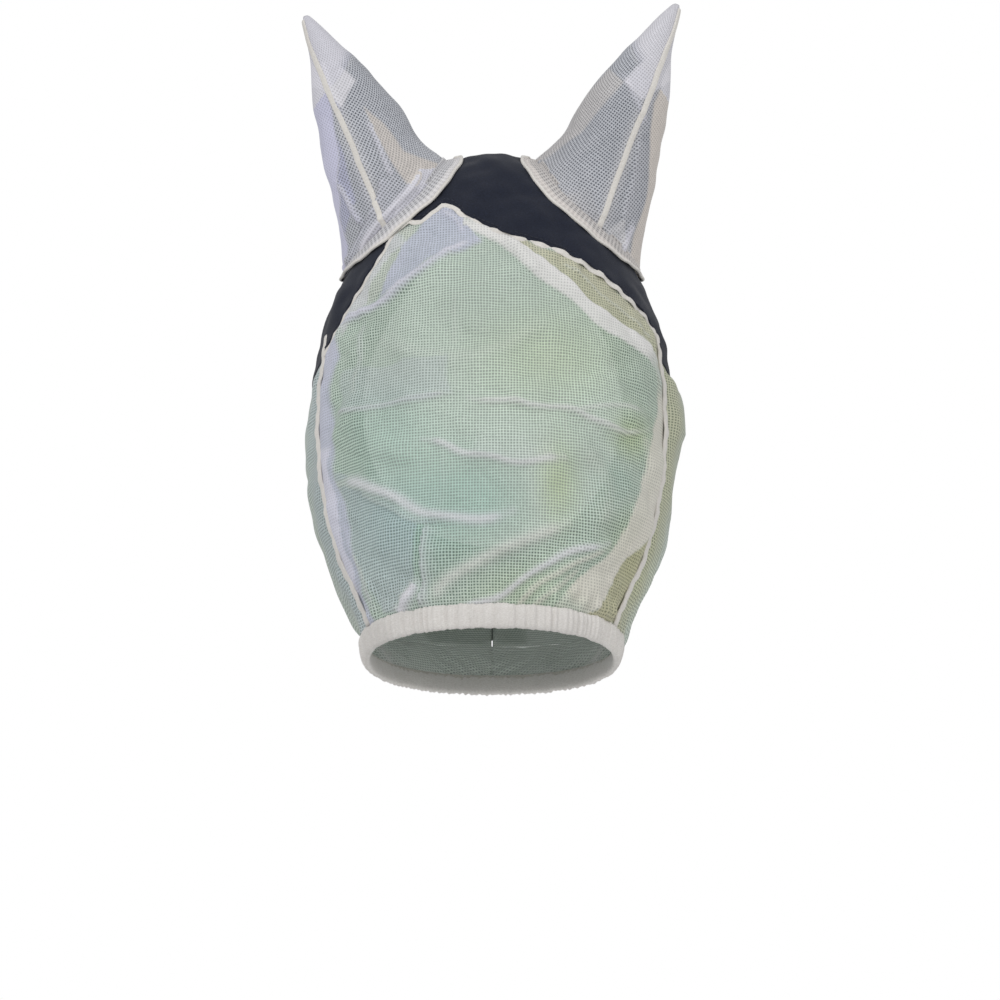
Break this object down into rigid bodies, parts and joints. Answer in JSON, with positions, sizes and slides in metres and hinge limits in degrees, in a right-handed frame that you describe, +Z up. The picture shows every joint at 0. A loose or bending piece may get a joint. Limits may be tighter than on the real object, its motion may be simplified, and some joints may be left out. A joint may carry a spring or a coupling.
{
  "type": "horse fly mask",
  "caption": "Sheer mesh horse fly mask with ear covers, stretch crown, ruched elastic nose band and hook-and-loop throat closure.",
  "frame": {"origin": "inner face of the crown where it rests on the poll, between the ears", "axes": "+Z up, -Y the way the face looks, +X the wearer's left side; the hood is in its worn shape, nose 18 degrees forward"},
  "size_m": [0.259, 0.2781, 0.4744],
  "materials": {
    "white_mesh": "woven",
    "mesh_hem": "folded mesh",
    "navy_knit": "stretch knit",
    "navy_binding": "ribbed",
    "navy_webbing": "woven webbing",
    "ruched_casing": "gathered mesh",
    "elastic": "braided",
    "loop_tape": "brushed loops",
    "hook_tape": "moulded hooks"
  },
  "bodies": {
    "hood": {"crown_panel": "navy_knit", "face_panel": "white_mesh", "left_cheek_panel": "white_mesh", "right_cheek_panel": "white_mesh", "left_side_seam": "mesh_hem", "right_side_seam": "mesh_hem", "brow_hem": "mesh_hem", "nose_casing": "ruched_casing", "nose_elastic": "elastic", "neck_binding": "navy_binding", "left_ear_cuff": "mesh_hem", "right_ear_cuff": "mesh_hem", "left_ear_gusset": "white_mesh", "right_ear_gusset": "white_mesh"},
    "left_ear": {"left_ear_inner_panel": "white_mesh", "left_ear_outer_panel": "white_mesh", "left_ear_seam": "mesh_hem"},
    "right_ear": {"right_ear_inner_panel": "white_mesh", "right_ear_outer_panel": "white_mesh", "right_ear_seam": "mesh_hem"},
    "left_flap": {"left_throat_band": "navy_knit", "left_jaw_flap": "white_mesh", "left_flap_binding": "navy_binding", "throat_tab_root": "navy_webbing", "jaw_tab_root": "navy_webbing"},
    "right_flap": {"right_throat_band": "navy_knit", "right_jaw_flap": "white_mesh", "right_flap_binding": "navy_binding", "throat_loop_tape": "loop_tape", "jaw_loop_tape": "loop_tape"},
    "throat_closure": {"throat_tab": "navy_webbing", "throat_hook_tape": "hook_tape"},
    "jaw_closure": {"jaw_tab": "navy_webbing", "jaw_hook_tape": "hook_tape"}
  },
  "joints": [
    {"name": "left_ear_flop", "type": "hinge", "parent": "hood", "child": "left_ear", "pos_m": [0.0651, -0.008, -0.031], "axis": [0.6978, 0, -0.7163], "range_deg": [-30, 25], "deforming": ["left_ear_gusset"]},
    {"name": "right_ear_flop", "type": "hinge", "parent": "hood", "child": "right_ear", "pos_m": [-0.0651, -0.008, -0.031], "axis": [0.6978, 0, 0.7163], "range_deg": [-30, 25], "deforming": ["right_ear_gusset"]},
    {"name": "left_flap_open", "type": "hinge", "parent": "hood", "child": "left_flap", "pos_m": [0.124, 0.02688, -0.20851], "axis": [0, -0.309, -0.9511], "range_deg": [0, 30]},
    {"name": "right_flap_open", "type": "hinge", "parent": "hood", "child": "right_flap", "pos_m": [-0.124, 0.02688, -0.20851], "axis": [0, 0.309, 0.9511], "range_deg": [0, 30]},
    {"name": "throat_tab_peel", "type": "hinge", "parent": "left_flap", "child": "throat_closure", "pos_m": [0.0038, 0.10117, -0.29048], "axis": [0, -0.7077, -0.7065], "range_deg": [0, 100]},
    {"name": "jaw_tab_peel", "type": "hinge", "parent": "left_flap", "child": "jaw_closure", "pos_m": [0.0038, 0.06828, -0.3166], "axis": [0, -0.8388, -0.5444], "range_deg": [0, 100]}
  ],
  "couplings": [
    {"joint": "right_flap_open", "follows": "left_flap_open", "ratio": 1}
  ]
}
